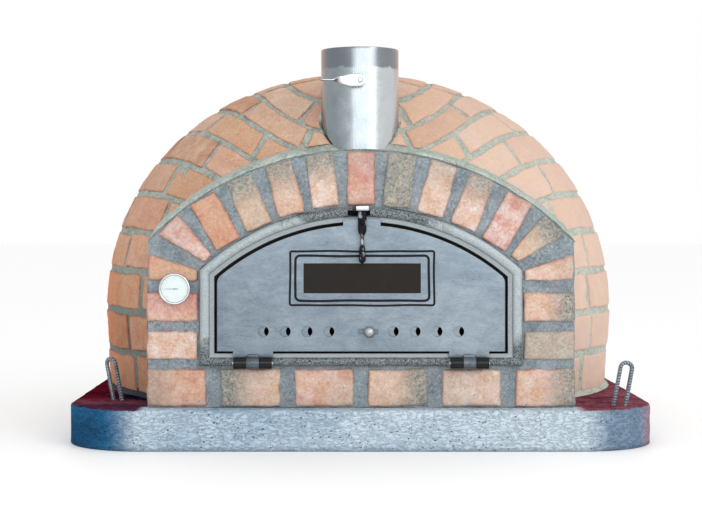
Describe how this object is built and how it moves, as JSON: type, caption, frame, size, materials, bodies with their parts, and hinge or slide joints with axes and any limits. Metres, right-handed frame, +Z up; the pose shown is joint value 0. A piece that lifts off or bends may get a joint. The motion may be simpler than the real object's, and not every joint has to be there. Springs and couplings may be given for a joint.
{
  "type": "wood fired pizza oven",
  "caption": "Brick dome oven on a concrete slab with a brick arch, drop-down cast iron door, air slider, latch, thermometer and damped steel flue.",
  "frame": {"origin": "middle of the underside of the concrete slab", "axes": "+Z up, the door faces -Y, +X to the right when looking at the door"},
  "size_m": [1.1, 1.1, 0.749],
  "materials": {
    "concrete": "rough cast concrete with a blue-grey coat, dark red-oxide top",
    "rebar": "ribbed steel bar",
    "insulation": "ceramic fibre and board",
    "refractory": "cast refractory, matt",
    "dome_brick": "rough hand made clay brick",
    "facing_brick": "rough hand made clay brick with pale bloom",
    "mortar": "rough grey mortar",
    "frame_iron": "mottled grey cast iron",
    "leaf_iron": "satin blue-grey cast iron",
    "black_steel": "black",
    "sight_glass": "dark ceramic glass",
    "bright_steel": "brushed stainless",
    "dial_white": "white enamel",
    "needle_black": "black"
  },
  "bodies": {
    "root": {"base_slab": "concrete", "lifting_loop_front_left": "rebar", "lifting_loop_front_right": "rebar", "lifting_loop_rear_left": "rebar", "lifting_loop_rear_right": "rebar", "floor_insulation": "insulation", "dome_insulation": "insulation", "hearth_slab": "refractory", "entry_tile": "refractory", "inner_dome": "refractory", "entry_vault": "refractory", "dome_course_1": "dome_brick", "dome_course_2": "dome_brick", "dome_course_3": "dome_brick", "dome_course_4": "dome_brick", "dome_course_5": "dome_brick", "dome_course_6": "dome_brick", "dome_course_7": "dome_brick", "dome_course_8": "dome_brick", "dome_cap": "dome_brick", "sill_brick_1": "facing_brick", "sill_brick_2": "facing_brick", "sill_brick_3": "facing_brick", "sill_brick_4": "facing_brick", "sill_brick_5": "facing_brick", "sill_brick_6": "facing_brick", "jamb_brick_left_lower": "facing_brick", "jamb_brick_left_upper": "facing_brick", "jamb_brick_right_lower": "facing_brick", "jamb_brick_right_upper": "facing_brick", "arch_brick_1": "facing_brick", "arch_brick_2": "facing_brick", "arch_brick_3": "facing_brick", "arch_brick_4": "facing_brick", "arch_brick_5": "facing_brick", "arch_brick_6": "facing_brick", "arch_brick_7": "facing_brick", "arch_brick_8": "facing_brick", "arch_brick_9": "facing_brick", "arch_brick_10": "facing_brick", "arch_brick_11": "facing_brick", "arch_brick_12": "facing_brick", "arch_brick_13": "facing_brick", "facade_mortar": "mortar", "door_frame": "frame_iron", "hinge_pin_left": "black_steel", "hinge_pin_right": "black_steel", "latch_catch": "bright_steel", "thermometer_case": "bright_steel", "thermometer_dial": "dial_white", "flue_pipe": "bright_steel"},
    "door": {"door_leaf": "leaf_iron", "sight_glass": "sight_glass", "glass_retainer": "black_steel"},
    "slider": {"air_slider": "black_steel", "slider_knob": "leaf_iron"},
    "latch": {"latch_lever": "leaf_iron"},
    "needle": {"thermometer_needle": "needle_black"},
    "damper": {"damper": "bright_steel", "damper_handle": "bright_steel"}
  },
  "joints": [
    {"name": "door_hinge", "type": "hinge", "parent": "root", "child": "door", "pos_m": [0, -0.53, 0.159], "axis": [1, 0, 0], "range_deg": [0, 90]},
    {"name": "air_slide", "type": "slide", "parent": "door", "child": "slider", "axis": [1, 0, 0], "range_m": [-0.011, 0.011]},
    {"name": "latch_swing", "type": "hinge", "parent": "door", "child": "latch", "pos_m": [0.002, -0.5265, 0.415], "axis": [0, 1, 0], "range_deg": [-90, 90]},
    {"name": "needle_turn", "type": "hinge", "parent": "root", "child": "needle", "pos_m": [-0.342, -0.518, 0.294], "axis": [0, 1, 0], "range_deg": [-45, 225]},
    {"name": "damper_turn", "type": "hinge", "parent": "root", "child": "damper", "pos_m": [0, -0.35, 0.684], "axis": [0, 1, 0], "range_deg": [0, 90]}
  ]
}
